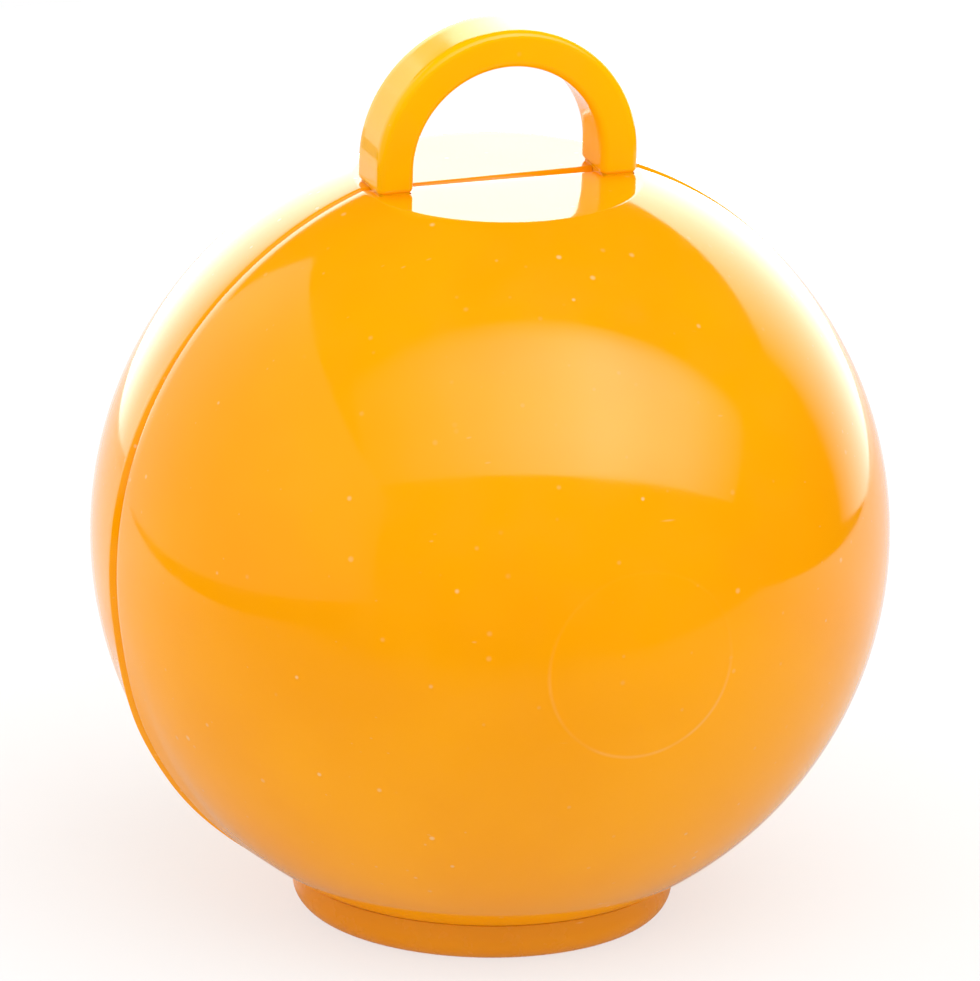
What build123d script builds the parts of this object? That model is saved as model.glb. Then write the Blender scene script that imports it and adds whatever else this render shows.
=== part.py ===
from build123d import *

import os
from math import hypot, sqrt

# A balloon weight: a hollow ball in two halves on a round foot, with a ribbon loop on its flat top.
# Z is up from the table, the seam between the halves is the XZ plane, and lengths are in millimetres.

# Loop that the ribbon is tied to
loop_inner_radius = 6.2
loop_bar = 2.4
loop_depth = 3.8
loop_leg_height = 1.45
loop_edge_fillet = 0.5
loop_clearance = 0.1
anchor_reach = 1.0
anchor_thickness = 1.2

# Ball casing
ball_radius = 25.0
casing_wall = 1.8
flat_margin = 0.25
flat_edge_fillet = 0.5
pocket_wall = 1.2

# Seam between the halves
seam_bevel = 0.45
tongue_thickness = 0.7
tongue_length = 1.4
tongue_clearance = 0.05
tongue_end_gap = 1.0

# Faint round mould mark on the front, a little below and to the right of the ball's middle
mark_drop = 0.95
mark_shift = 1.25
mark_radius = 6.1
mark_width = 0.25
mark_depth = 0.08

# Foot and the plug that closes the filling hole
foot_radius = 11.9
foot_height = 2.6
foot_edge_fillet = 1.7
foot_rim_width = 1.1
foot_ring_width = 4.9
foot_recess_depth = 1.0
foot_recess_fillet = 0.3
rim_clearance = 0.08
seat_width = 1.4
floor_thickness = 1.6
plug_wall = 1.4
plug_clearance = 0.05
collar_wall = 1.5
collar_height = 3.5
bead_reach = 0.3
bead_land = 0.4
bead_lead = 0.7

# Ballast cast inside the ball
fill_depth = 22.4
fill_clearance = 0.05

# Length by which cutting shapes run past what they cut
cut_overrun = 1.0

# Radii and heights that follow from the sizes above
loop_outer_radius = loop_inner_radius + loop_bar
leg_middle = loop_inner_radius + loop_bar / 2
anchor_width = loop_bar + 2 * anchor_reach
flat_radius = hypot(loop_outer_radius, loop_depth / 2) + flat_margin
inner_radius = ball_radius - casing_wall
seat_radius = foot_radius - foot_rim_width
hole_radius = seat_radius - seat_width
collar_radius = hole_radius + collar_wall
plug_radius = hole_radius - plug_clearance
plug_bore = plug_radius - plug_wall
foot_recess_radius = foot_radius - foot_ring_width

center_z = foot_height + sqrt(ball_radius**2 - foot_radius**2)
flat_z = center_z + sqrt(ball_radius**2 - flat_radius**2)
ceiling_z = flat_z - casing_wall
arch_z = flat_z + loop_leg_height
pocket_floor_z = ceiling_z - anchor_thickness - loop_clearance
pocket_underside_z = pocket_floor_z - pocket_wall
seat_z = center_z - sqrt(ball_radius**2 - seat_radius**2)
collar_top_z = seat_z + collar_height
floor_z = foot_recess_depth + floor_thickness

ball_axis = Axis((0, 0, center_z), (0, 1, 0))
leg_places = [(-leg_middle, 0), (leg_middle, 0)]
mark_reach = sqrt(ball_radius**2 - mark_shift**2 - mark_drop**2)
mark_plane = Plane((0, 0, center_z), z_dir=(mark_shift, -mark_reach, -mark_drop))

# Hollow inside the ball, less the collar round the filling hole and the blocks that hold the loop
with BuildPart() as cavity:
    with BuildSketch(Plane.XZ):
        with Locations((0, center_z)):
            Circle(inner_radius)
        with Locations((0, ceiling_z)):
            Rectangle(2 * ball_radius, 2 * ball_radius, align=(Align.CENTER, Align.MAX), mode=Mode.INTERSECT)
        split(bisect_by=Plane.YZ)
    revolve(axis=Axis.Z)
    with BuildSketch(Plane.XY):
        Circle(collar_radius)
    extrude(amount=collar_top_z, mode=Mode.SUBTRACT)
    with BuildSketch(Plane.XY.offset(pocket_underside_z)):
        with Locations(*leg_places):
            Rectangle(
                anchor_width + 2 * (loop_clearance + pocket_wall),
                loop_depth + 2 * (loop_clearance + pocket_wall),
            )
    extrude(amount=ceiling_z - pocket_underside_z, mode=Mode.SUBTRACT)

# Whole casing before it is parted along the seam
with BuildPart() as casing:
    with BuildSketch(Plane.XZ) as outside:
        with Locations((0, center_z)):
            Circle(ball_radius)
        with Locations((0, seat_z)):
            Rectangle(
                2 * ball_radius, flat_z - seat_z, align=(Align.CENTER, Align.MIN), mode=Mode.INTERSECT
            )
        fillet(outside.vertices().group_by(Axis.Y)[-1], flat_edge_fillet)
        split(bisect_by=Plane.YZ)
    revolve(axis=Axis.Z)
    add(cavity.part, mode=Mode.SUBTRACT)

    # Filling hole
    with BuildSketch(Plane.XY):
        Circle(hole_radius)
    extrude(amount=collar_top_z, mode=Mode.SUBTRACT)

    # Slots for the loop's legs, and the wider pockets that trap its anchors
    with BuildSketch(Plane.XY.offset(ceiling_z)):
        with Locations(*leg_places):
            Rectangle(loop_bar + 2 * loop_clearance, loop_depth + 2 * loop_clearance)
    extrude(amount=casing_wall + cut_overrun, mode=Mode.SUBTRACT)
    with BuildSketch(Plane.XY.offset(pocket_floor_z)):
        with Locations(*leg_places):
            Rectangle(anchor_width + 2 * loop_clearance, loop_depth + 2 * loop_clearance)
    extrude(amount=ceiling_z - pocket_floor_z, mode=Mode.SUBTRACT)

    # Groove along the seam, round the ball and then straight across the flat
    with BuildSketch(Plane.XY.offset(center_z)):
        with BuildLine():
            Polyline(
                (ball_radius - seam_bevel, 0),
                (ball_radius + cut_overrun, seam_bevel + cut_overrun),
                (ball_radius + cut_overrun, -seam_bevel - cut_overrun),
                close=True,
            )
        make_face()
    revolve(axis=ball_axis, mode=Mode.SUBTRACT)
    with BuildSketch(Plane.YZ):
        with BuildLine():
            Polyline(
                (0, flat_z - seam_bevel),
                (seam_bevel + cut_overrun, flat_z + cut_overrun),
                (-seam_bevel - cut_overrun, flat_z + cut_overrun),
                close=True,
            )
        make_face()
    extrude(amount=flat_radius, both=True, mode=Mode.SUBTRACT)

# Band of the seam plane that the tongue and its recess take up
tongue_low_z = collar_top_z + tongue_end_gap
tongue_high_z = pocket_underside_z - tongue_end_gap

# Front half, with the tongue that reaches into the rear half
with BuildPart() as front_shell:
    add(casing.part)
    split(bisect_by=Plane.XZ)
    with BuildSketch(Plane.XZ):
        with Locations((0, center_z)):
            Circle(inner_radius + tongue_thickness)
            Circle(inner_radius, mode=Mode.SUBTRACT)
        with Locations((0, tongue_low_z)):
            Rectangle(
                2 * ball_radius,
                tongue_high_z - tongue_low_z,
                align=(Align.CENTER, Align.MIN),
                mode=Mode.INTERSECT,
            )
    extrude(amount=-tongue_length)
    with BuildSketch(mark_plane.offset(sqrt(ball_radius**2 - mark_radius**2) - mark_depth)):
        Circle(mark_radius + mark_width / 2)
        Circle(mark_radius - mark_width / 2, mode=Mode.SUBTRACT)
    extrude(amount=cut_overrun, mode=Mode.SUBTRACT)

# Rear half, with the recess that takes the tongue
with BuildPart() as rear_shell:
    add(casing.part)
    split(bisect_by=Plane.XZ, keep=Keep.BOTTOM)
    with BuildSketch(Plane.XZ):
        with Locations((0, center_z)):
            Circle(inner_radius + tongue_thickness + tongue_clearance)
        with Locations((0, tongue_low_z - tongue_clearance)):
            Rectangle(
                2 * ball_radius,
                tongue_high_z - tongue_low_z + 2 * tongue_clearance,
                align=(Align.CENTER, Align.MIN),
                mode=Mode.INTERSECT,
            )
    extrude(amount=-tongue_length - tongue_clearance, mode=Mode.SUBTRACT)

# One-piece loop: an arch on two legs that end in wider anchors under the flat
with BuildPart() as ribbon_loop:
    with BuildSketch(Plane.XZ):
        with Locations((0, arch_z)):
            Circle(loop_outer_radius)
            Circle(loop_inner_radius, mode=Mode.SUBTRACT)
            Rectangle(
                2 * loop_outer_radius,
                loop_outer_radius,
                align=(Align.CENTER, Align.MIN),
                mode=Mode.INTERSECT,
            )
        with Locations((-leg_middle, ceiling_z), (leg_middle, ceiling_z)):
            Rectangle(loop_bar, arch_z - ceiling_z, align=(Align.CENTER, Align.MIN))
            Rectangle(anchor_width, anchor_thickness, align=(Align.CENTER, Align.MAX))
    extrude(amount=loop_depth / 2, both=True)
    broad_sides = ribbon_loop.faces().filter_by(Axis.Y)
    rounded_edges = broad_sides.edges().filter_by_position(
        Axis.Z, ceiling_z, arch_z + loop_outer_radius, inclusive=(False, False)
    )
    fillet(rounded_edges, loop_edge_fillet)

# Foot that the ball stands on, with the plug that snaps into the collar
rim_radius = ball_radius + rim_clearance
rim_z = center_z - sqrt(rim_radius**2 - foot_radius**2)
rim_inner_radius = sqrt(rim_radius**2 - (center_z - seat_z) ** 2)
rim_middle = (rim_inner_radius + foot_radius) / 2
rim_middle_z = center_z - sqrt(rim_radius**2 - rim_middle**2)
bead_z = collar_top_z + plug_clearance
plug_top_z = bead_z + bead_land + bead_lead
with BuildPart() as base_cap:
    with BuildSketch(Plane.XZ) as section:
        with BuildLine():
            Polyline(
                (rim_inner_radius, seat_z),
                (plug_radius, seat_z),
                (plug_radius, bead_z),
                (plug_radius + bead_reach, bead_z),
                (plug_radius + bead_reach, bead_z + bead_land),
                (plug_radius, plug_top_z),
                (plug_bore, plug_top_z),
                (plug_bore, floor_z),
                (0, floor_z),
                (0, foot_recess_depth),
                (foot_recess_radius, foot_recess_depth),
                (foot_recess_radius, 0),
                (foot_radius, 0),
                (foot_radius, rim_z),
            )
            ThreePointArc(
                (foot_radius, rim_z), (rim_middle, rim_middle_z), (rim_inner_radius, seat_z)
            )
        make_face()
        fillet(section.vertices().group_by(Axis.Y)[0].sort_by(Axis.X)[-1], foot_edge_fillet)
        fillet(section.vertices().group_by(Axis.Y)[0].sort_by(Axis.X)[0], foot_recess_fillet)
    revolve(axis=Axis.Z)

# Ballast that fills the lower part of the ball round the collar, and the inside of the plug
with BuildPart() as ballast:
    with BuildSketch(Plane.XZ):
        with Locations((0, center_z)):
            Circle(inner_radius - fill_clearance)
        with Locations((0, floor_z)):
            Rectangle(2 * ball_radius, fill_depth, align=(Align.CENTER, Align.MIN), mode=Mode.INTERSECT)
        split(bisect_by=Plane.YZ)
    revolve(axis=Axis.Z)
    with BuildSketch(Plane.XY):
        Circle(collar_radius + fill_clearance)
    extrude(amount=plug_top_z + fill_clearance, mode=Mode.SUBTRACT)
    with BuildSketch(Plane.XY.offset(floor_z)):
        Circle(plug_bore - fill_clearance)
    extrude(amount=plug_top_z + fill_clearance - floor_z)

front_shell.part.label = "front_shell"
rear_shell.part.label = "rear_shell"
ribbon_loop.part.label = "ribbon_loop"
base_cap.part.label = "base_cap"
ballast.part.label = "ballast"

os.makedirs("parts", exist_ok=True)
export_step(front_shell.part, "parts/front_shell.step")
export_step(rear_shell.part, "parts/rear_shell.step")
export_step(ribbon_loop.part, "parts/ribbon_loop.step")
export_step(base_cap.part, "parts/base_cap.step")
export_step(ballast.part, "parts/ballast.step")
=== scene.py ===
"""Looks of the balloon weight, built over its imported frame.

The frame is loaded first and stays where it is. The halves of the ball, the ribbon loop and the foot
get fine surfaces in moulded plastic, and the ballast keeps its own shape in mortar.
Lengths are in metres, Z is up from the table, and the seam between the halves is the XZ plane.
"""

import math

import bmesh
import bpy
import numpy as np
from bpy.props import FloatProperty, FloatVectorProperty, PointerProperty
from mathutils import Matrix, Vector


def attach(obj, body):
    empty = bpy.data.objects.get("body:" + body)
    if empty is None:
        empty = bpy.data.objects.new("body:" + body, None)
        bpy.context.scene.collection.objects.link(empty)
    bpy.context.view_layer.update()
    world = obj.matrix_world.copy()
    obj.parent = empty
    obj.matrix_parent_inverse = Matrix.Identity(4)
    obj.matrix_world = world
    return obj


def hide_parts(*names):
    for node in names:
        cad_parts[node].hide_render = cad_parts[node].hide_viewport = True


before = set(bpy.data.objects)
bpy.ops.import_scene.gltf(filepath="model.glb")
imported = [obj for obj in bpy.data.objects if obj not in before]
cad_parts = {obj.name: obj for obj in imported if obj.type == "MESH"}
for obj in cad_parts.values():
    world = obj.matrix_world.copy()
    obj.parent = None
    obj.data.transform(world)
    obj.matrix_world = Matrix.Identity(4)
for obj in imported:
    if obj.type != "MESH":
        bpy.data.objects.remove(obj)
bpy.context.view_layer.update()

bl_info = {
    "name": "Balloon Weight",
    "version": (1, 0, 0),
    "blender": (4, 5, 0),
    "location": "3D View > Sidebar > Balloon Weight",
    "description": "Builds a ball-shaped balloon weight and the studio it stands in",
    "category": "Object",
}

# Angle in degrees past which an edge of a piece stays crisp
CREASE = 32.0

# Distance within which the borders of patches are merged
MERGE_DISTANCE = 1e-7

# Angles from the top of the ball between which the groove grows to its full width
GROOVE_START = 0.9
GROOVE_END = 1.65

# Angles from the top of the ball between which it then loses a share of that growth
NARROW_START = 1.7
NARROW_END = 2.2
NARROW_SHARE = 0.6

# Angles from the top of the ball between which the lips on the rims rise and fall
LIP_RISE = (1.72, 2.05)
LIP_FALL = (2.2, 2.62)

# Height of the front half's lip as a share of the rear half's
FRONT_LIP = 0.65

# Distances from the seam, as shares of the groove's half width, at which the ball has grid lines
SEAM_SHARES = np.array([0.0, 0.25, 0.5, 0.7, 0.83, 0.92, 0.97, 1.0, 1.03, 1.08, 1.17, 1.3, 1.5, 1.8])

# Wall of the collar round the filling hole, and reach of the ceiling past the flat's radius
COLLAR_WALL = 0.0015
CEILING_MARGIN = 0.00025

# Steps along each part of the casing's outline
EDGE_STEPS = 6
OUTER_STEPS = 134
SEAT_STEPS = 4
COLLAR_STEPS = (6, 6, 4)
INNER_STEPS = 138
CORNER_STEPS = 2

# Steps of the casing's columns from the seam to a slot, past the slot, and on to the middle
COLUMN_STEPS = (8, 36, 44)

# Steps on the flat from the groove to the slot's end, and from there to the flat's edge
SLOT_STEPS = 4
FLAT_STEPS = 12

# Part of a quarter turn that the rounded bottom edge of a leg makes before it goes into its slot
BASE_TURN = math.radians(52.0)

# Least rounding of the bar's edges where a leg goes into its slot
LEAST_ROUND = 0.00002

# Steps of the bar's section round a corner and along its short and long sides
ROUND_STEPS = 8
SHORT_STEPS = 6
LONG_STEPS = 8

# Steps of the bar along the bottom edge of a leg, up the leg and over the arch
BASE_STEPS = 9
LEG_STEPS = 8
ARCH_STEPS = 240

# Gaps between the foot and the ball at the seat and at the plug
SEAT_CLEARANCE = 0.00001
PLUG_CLEARANCE = 0.00005

# Rounding of the foot's rim, and the share of it by which that lies below the rim's edge
RIM_ROUND = 0.00003
RIM_SHARE = 0.55

# Rounding of the recess's edge, and sizes of the plug and its snap bead
RECESS_ROUND = 0.0003
PLUG_WALL = 0.0014
BEAD_REACH = 0.0003
BEAD_LAND = 0.0004
PLUG_TOP = 0.0011

# Steps along each part of the foot's outline, and round the foot
RECESS_STEPS = (10, 4)
RECESS_EDGE_STEPS = 5
RING_STEPS = 8
BOTTOM_EDGE_STEPS = 22
SIDE_STEPS = 6
RIM_EDGE_STEPS = 6
RIM_STEPS = 8
PLUG_STEPS = (4, 8, 2, 2, 3, 3, 8, 10)
FOOT_STEPS = 240

# Least and greatest roughness of the polished mouldings, and of the duller foot
BALL_GLOSS = (0.055, 0.1)
FOOT_GLOSS = (0.22, 0.3)

# Strength of the reflection of the polished mouldings, and of the duller foot
BALL_SHINE = 0.5
FOOT_SHINE = 0.3

# Refraction of the plastic, and shares of its colour where its tone is deepest and lightest
PLASTIC_IOR = 1.5
DEEP_TONE = (0.975, 0.955, 0.9)
LIGHT_TONE = (1.02, 1.04, 1.1)

# Colour of dusty specks and scuffs on the plastic, and of the painted reflection along the mould mark's line
DUST_AND_PAINTED_REFLECTION = (0.97, 0.66, 0.38, 1.0)

# Cells to the metre that hold specks, and the turn and scale of the cells that hold fine streaks
SPECK_SCALE = 600.0
STREAK_TURN = (0.5, 0.9, 0.3)
STREAK_SCALE = (110.0, 2600.0, 2600.0)

# Depths of the plastic's waves and its streaks
WAVE_DEPTH = 0.00002
STREAK_DEPTH = 0.000002

# Grains of the mortar to the metre, shares of its colour in them, and depths of its pores and grains
GRAIN_SCALE = 900.0
DARK_GRAIN = 0.62
PALE_GRAIN = 1.4
PORE_DEPTH = 0.0004
GRAIN_DEPTH = 0.0002

# Share of plain white that the floor sheet shows in pictures
FLOOR_LIFT = 0.32

# Depths from the camera's side of the part to the far side, and the sheet's cover there
COVER_DEPTHS = (-0.045, 0.045)
COVER_SHARES = (0.2, 0.92)

# Depth at which the sheet's fade from its front edge ends
FADE_END = -0.05

# Points along each side of the floor sheet
SHEET_POINTS = 9

# Edges in Y, and above and below in Z, of the white that the gloss sees behind the part
REAR_EDGE = (0.85, 0.95)
UPPER_EDGE = (0.4, 0.5)
LOWER_EDGE = (-0.4, -0.34)

# Bounds in Y between which the fill light falls off towards the rear, and its share there
FILL_BOUNDS = (-0.3, 0.9)
REAR_FILL = 0.95

# Distance of the lamps' planes, and power to the square metre at which a lamp looks white
LAMP_DISTANCE = 0.6
WHITE_POWER = 4.0

# Even brightness of a lamp from edge to edge
EVEN = ((0.0, 1.0), (1.0, 1.0))

# Lamps, as panel_lamp takes them
FRONT_PANEL = {
    "azimuth": -2.1,
    "elevation": 52.0,
    "turn": -7.3,
    "span": (-1.1, 1.83, -0.325, 0.53),
    "shares": (
        (0.0, 0.04), (0.1, 0.09), (0.2, 0.2), (0.3, 0.38), (0.4, 0.69), (0.48, 1.0),
        (0.52, 1.0), (0.6, 0.79), (0.7, 0.63), (0.8, 0.38), (0.9, 0.2), (1.0, 0.06),
    ),
    "heights": ((0.0, 0.85), (0.25, 1.0), (0.7, 1.0), (0.85, 0.8), (1.0, 0.12)),
    "lights": False,
}
SIDE_PANEL = {
    "azimuth": -118.0,
    "span": (-0.754, 2.14, -0.18, 1.07),
    "shares": ((0.0, 1.0), (0.12, 0.88), (0.25, 0.5), (0.32, 0.39), (0.5, 0.33), (0.81, 0.26), (1.0, 0.12)),
}
REAR_PANEL = {
    "azimuth": 148.0,
    "span": (-1.12, 1.54, -0.2, 0.66),
    "shares": (
        (0.0, 0.0), (0.13, 0.31), (0.37, 0.85), (0.45, 1.0),
        (0.57, 0.72), (0.76, 0.45), (0.9, 0.22), (1.0, 0.2),
    ),
    "lights": False,
}
KEY_LAMP = {"azimuth": 20.0, "elevation": 64.0, "span": (-0.65, 0.65, -0.5, 0.5), "shows": False}

# Width of the camera's sensor in millimetres, and the nearest and farthest that the camera sees
SENSOR_WIDTH = 36.0
NEAREST = 0.01
FARTHEST = 50.0


def length_setting(name, description, default, least=0.0):
    """Setting for a length in metres."""
    return FloatProperty(
        name=name, description=description, default=default, min=least, precision=5, unit="LENGTH"
    )


def angle_setting(name, description, degrees):
    """Setting for an angle, whose default is given in degrees."""
    return FloatProperty(
        name=name, description=description, default=math.radians(degrees), subtype="ANGLE"
    )


def level_setting(name, description, default):
    """Setting for a brightness, where 1 is white."""
    return FloatProperty(name=name, description=description, default=default, min=0.0)


def colour_setting(name, description, default):
    """Setting for a colour."""
    return FloatVectorProperty(
        name=name, description=description, default=default, size=3, min=0.0, max=1.0, subtype="COLOR"
    )


class BallSettings(bpy.types.PropertyGroup):
    """Sizes and plastic of the two halves of the ball."""

    radius: length_setting("Radius", "Outer radius of the ball", 0.02499, 0.01)
    centre_height: length_setting("Centre height", "Height of the ball's centre above the table", 0.024586)
    wall: length_setting("Wall", "Thickness of the casing", 0.0018, 0.0005)
    flat_radius: length_setting(
        "Flat radius",
        "Radius at which the flat top would meet the ball without its rounded edge",
        0.009057,
        0.001,
    )
    flat_edge: length_setting("Flat edge", "Radius of the rounded edge of the flat top", 0.0005)
    seam_bevel: length_setting(
        "Seam bevel", "Width and depth of the bevel that each half has along the seam", 0.00062
    )
    left_bevel: length_setting(
        "Left bevel", "Width and depth of the bevel along the seam at the left of the flat top", 0.00016
    )
    right_bevel: length_setting(
        "Right bevel", "Width and depth of the bevel along the seam at the right of the flat top", 0.0005
    )
    front_round: length_setting(
        "Front rounding", "Length over which the upper edge of the front half's bevel is rounded", 0.00015
    )
    rear_round: length_setting(
        "Rear rounding", "Length over which the upper edge of the rear half's bevel is rounded", 0.00004
    )
    lip: length_setting(
        "Lip", "Height by which the rim of the rear half stands out along the lower seam", 0.00055
    )
    lip_width: length_setting("Lip width", "Width over which a half rises to its lip", 0.002, 0.0001)
    mark_drop: length_setting(
        "Mark drop", "Length by which the mould mark's middle lies below the ball's centre", 0.00095, -1.0
    )
    mark_shift: length_setting(
        "Mark shift",
        "Length by which the mould mark's middle lies to the right of the ball's centre",
        0.00125,
        -1.0,
    )
    mark_radius: length_setting("Mark radius", "Radius of the round mould mark on the front half", 0.0061)
    mark_width: length_setting("Mark width", "Width of the mould mark's line", 0.0003)
    mark_depth: length_setting("Mark depth", "Depth of the mould mark's line", 0.000009)
    colour: colour_setting("Colour", "Colour of the ball's plastic", (0.99, 0.37, 0.0008))


class LoopSettings(bpy.types.PropertyGroup):
    """Sizes and plastic of the ribbon loop."""

    inner_radius: length_setting("Inner radius", "Radius of the gap under the arch", 0.0062, 0.001)
    bar: length_setting(
        "Bar", "Thickness of the bar from the inside to the outside of the arch", 0.00239, 0.0005
    )
    depth: length_setting("Depth", "Depth of the bar from front to rear", 0.0038, 0.0005)
    leg_height: length_setting("Leg height", "Height of the straight legs above the flat top", 0.00145)
    front_round: length_setting("Front rounding", "Radius of the bar's front edges", 0.0005)
    base_round: length_setting(
        "Base rounding",
        "Radius of the edge round the bottom of a leg, where it meets the flat top",
        0.00042,
    )
    rear_round: length_setting("Rear rounding", "Radius of the bar's rear edges", 0.00012)
    clearance: length_setting("Clearance", "Gap between a leg and the slot that it stands in", 0.000015)
    anchor_reach: length_setting(
        "Anchor reach", "Length by which an anchor is wider than its leg on each side", 0.001
    )
    anchor_thickness: length_setting(
        "Anchor thickness", "Thickness of the anchors under the flat top", 0.0012
    )
    # The loop's colour is lighter than the ball's. Part of that is painted light on the loop's front faces,
    # and part is its own yellower tone
    colour: colour_setting("Colour", "Colour of the loop's plastic", (0.99, 0.49, 0.0008))


class FootSettings(bpy.types.PropertyGroup):
    """Sizes and plastic of the foot and its plug."""

    radius: length_setting("Radius", "Outer radius of the foot", 0.0119, 0.001)
    edge_round: length_setting("Edge rounding", "Radius of the rounded bottom edge", 0.0017)
    rim_width: length_setting(
        "Rim width", "Width of the rim that follows the ball outside the seat", 0.0011
    )
    rim_clearance: length_setting("Rim clearance", "Gap between the rim and the ball", 0.00001)
    seat_width: length_setting("Seat width", "Width of the flat seat that carries the ball", 0.0014)
    ring_width: length_setting("Ring width", "Width of the ring that stands on the table", 0.0049)
    recess_depth: length_setting("Recess depth", "Depth of the recess under the foot", 0.001)
    floor_thickness: length_setting(
        "Floor thickness", "Thickness of the floor that closes the ball", 0.0016
    )
    collar_height: length_setting("Collar height", "Height of the collar that the plug snaps into", 0.0035)
    # The foot's colour is darker than the ball's. That darkening is mostly painted shade, standing for the
    # shade under the ball's overhang
    colour: colour_setting("Colour", "Colour of the foot's plastic", (0.82, 0.275, 0.0008))


class BallastSettings(bpy.types.PropertyGroup):
    """Mortar of the ballast."""

    colour: colour_setting("Colour", "Colour of the mortar between its grains", (0.42, 0.40, 0.37))


class StudioSettings(bpy.types.PropertyGroup):
    """Camera, lamps and floor."""

    azimuth: angle_setting(
        "Azimuth", "Turn of the camera round the part, from the front towards the right", -20.26
    )
    elevation: angle_setting("Elevation", "Angle of the camera above the horizon", 18.79)
    roll: angle_setting("Roll", "Turn of the picture, clockwise", 1.35)
    distance: length_setting("Distance", "Distance from the camera to the ball", 2.0, 0.2)
    frame_width: length_setting("Frame width", "Width of the picture at the ball", 0.061235, 0.01)
    rise: length_setting(
        "Rise",
        "Height of the picture's middle above the ball's centre, in the picture's plane",
        0.002506,
        -1.0,
    )
    fill: level_setting("Fill", "Level of the even light from all round", 0.9)
    key: level_setting(
        "Key",
        "Brightness of the soft lamp above the front, which lights without showing in the gloss",
        0.95,
    )
    front_panel: level_setting(
        "Front panel", "Brightness of the wide panel above the camera, which shows in the gloss only", 2.6
    )
    side_panel: level_setting("Side panel", "Greatest brightness of the panel at the left", 0.7)
    rear_panel: level_setting(
        "Rear panel", "Greatest brightness of the panel behind the part, which shows in the gloss only", 3.7
    )
    sheet_left: length_setting(
        "Sheet left", "Distance from the part's middle to the left edge of the floor sheet", 0.115, 0.05
    )
    sheet_right: length_setting(
        "Sheet right", "Distance from the part's middle to the right edge of the floor sheet", 0.16, 0.05
    )
    sheet_rear: length_setting(
        "Sheet rear", "Distance from the part's middle to the rear edge of the floor sheet", 0.18, 0.05
    )
    sheet_front: length_setting(
        "Sheet front",
        "Distance from the part's middle to the front edge of the floor sheet, where it fades out",
        0.1,
        0.015,
    )
    floor_colour: colour_setting("Floor", "Colour of the floor sheet", (0.92, 0.92, 0.92))


class BalloonWeightSettings(bpy.types.PropertyGroup):
    """All that a user would change on the balloon weight."""

    ball: PointerProperty(name="Ball", description="Halves of the ball", type=BallSettings)
    loop: PointerProperty(name="Loop", description="Ribbon loop", type=LoopSettings)
    foot: PointerProperty(name="Foot", description="Foot and plug", type=FootSettings)
    ballast: PointerProperty(name="Ballast", description="Cast ballast", type=BallastSettings)
    studio: PointerProperty(name="Studio", description="Camera and light", type=StudioSettings)


def ease(share):
    """Share from 0 to 1 with level ends: three times its square less twice its cube, held outside."""
    held = np.clip(share, 0.0, 1.0)
    return held**2 * (3.0 - 2.0 * held)


def straight_runs(corners, steps):
    """Points on straight runs from corner to corner, each run cut into its number of equal steps."""
    ends = np.asarray(corners, float)
    runs = [np.linspace(a, b, n, endpoint=False) for a, b, n in zip(ends[:-1], ends[1:], steps)]
    return np.concatenate(runs + [ends[-1:]])


def arc(centre, radius, start, end, steps):
    """Points on a circle: the centre plus the radius times an angle's sine and cosine, from upright."""
    angle = np.linspace(start, end, steps + 1)
    turn = np.stack([np.sin(angle), np.cos(angle)], axis=-1)
    return np.asarray(centre) + radius * turn


def grid_cells(rows, columns):
    """Corners of the cells of a grid of numbered points, in order round each cell."""
    index = np.arange(rows * columns).reshape(rows, columns)
    return np.stack([index[:-1, :-1], index[1:, :-1], index[1:, 1:], index[:-1, 1:]], axis=-1)


def join_patches(name, patches):
    """One closed mesh from grids of points.

    A patch is an array of points, rows by columns by three, with a mask of the cells to keep, or None
    to keep all. Borders that meet are merged, the faces are turned outwards, and edges sharper than
    the crease angle stay crisp.
    """
    points = []
    quads = []
    first = 0
    for grid, kept in patches:
        cells = first + grid_cells(*grid.shape[:2])
        quads.append(cells.reshape(-1, 4) if kept is None else cells[kept])
        points.append(grid.reshape(-1, 3))
        first += len(points[-1])
    points = np.concatenate(points)
    quads = np.concatenate(quads)

    mesh = bpy.data.meshes.new(name)
    mesh.vertices.add(len(points))
    mesh.vertices.foreach_set("co", points.astype(np.float32).ravel())
    mesh.loops.add(quads.size)
    mesh.loops.foreach_set("vertex_index", quads.astype(np.int32).ravel())
    mesh.polygons.add(len(quads))
    mesh.polygons.foreach_set("loop_start", np.arange(0, quads.size, 4, dtype=np.int32))
    mesh.update(calc_edges=True)

    shell = bmesh.new()
    shell.from_mesh(mesh)
    bmesh.ops.remove_doubles(shell, verts=shell.verts, dist=MERGE_DISTANCE)
    bmesh.ops.recalc_face_normals(shell, faces=shell.faces)
    if shell.calc_volume(signed=True) < 0:
        bmesh.ops.reverse_faces(shell, faces=shell.faces)
    open_edges = sum(not edge.is_manifold for edge in shell.edges)
    shell.to_mesh(mesh)
    shell.free()
    if open_edges:
        raise RuntimeError(f"{name} has {open_edges} edges that don't close")

    mesh.polygons.foreach_set("use_smooth", np.ones(len(mesh.polygons), bool))
    mesh.set_sharp_from_angle(angle=math.radians(CREASE))
    return mesh


def place_piece(mesh, material, node):
    """Puts a mesh in the scene as the piece that stands for a CAD node and rides on its body."""
    piece = bpy.data.objects.new(mesh.name, mesh)
    mesh.materials.append(material)
    bpy.context.scene.collection.objects.link(piece)
    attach(piece, "root")
    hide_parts(node)
    return piece


def seam_drop(distance, bevel, rounding):
    """Depth of the seam groove at a distance from the seam.

    With t the bevel less the distance, it is half of t plus the root of t squared and the rounding
    squared: a bevel of 45 degrees whose upper edge is a smooth curve.
    """
    run = bevel - np.abs(distance)
    return 0.5 * (run + np.sqrt(run**2 + rounding**2))


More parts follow.
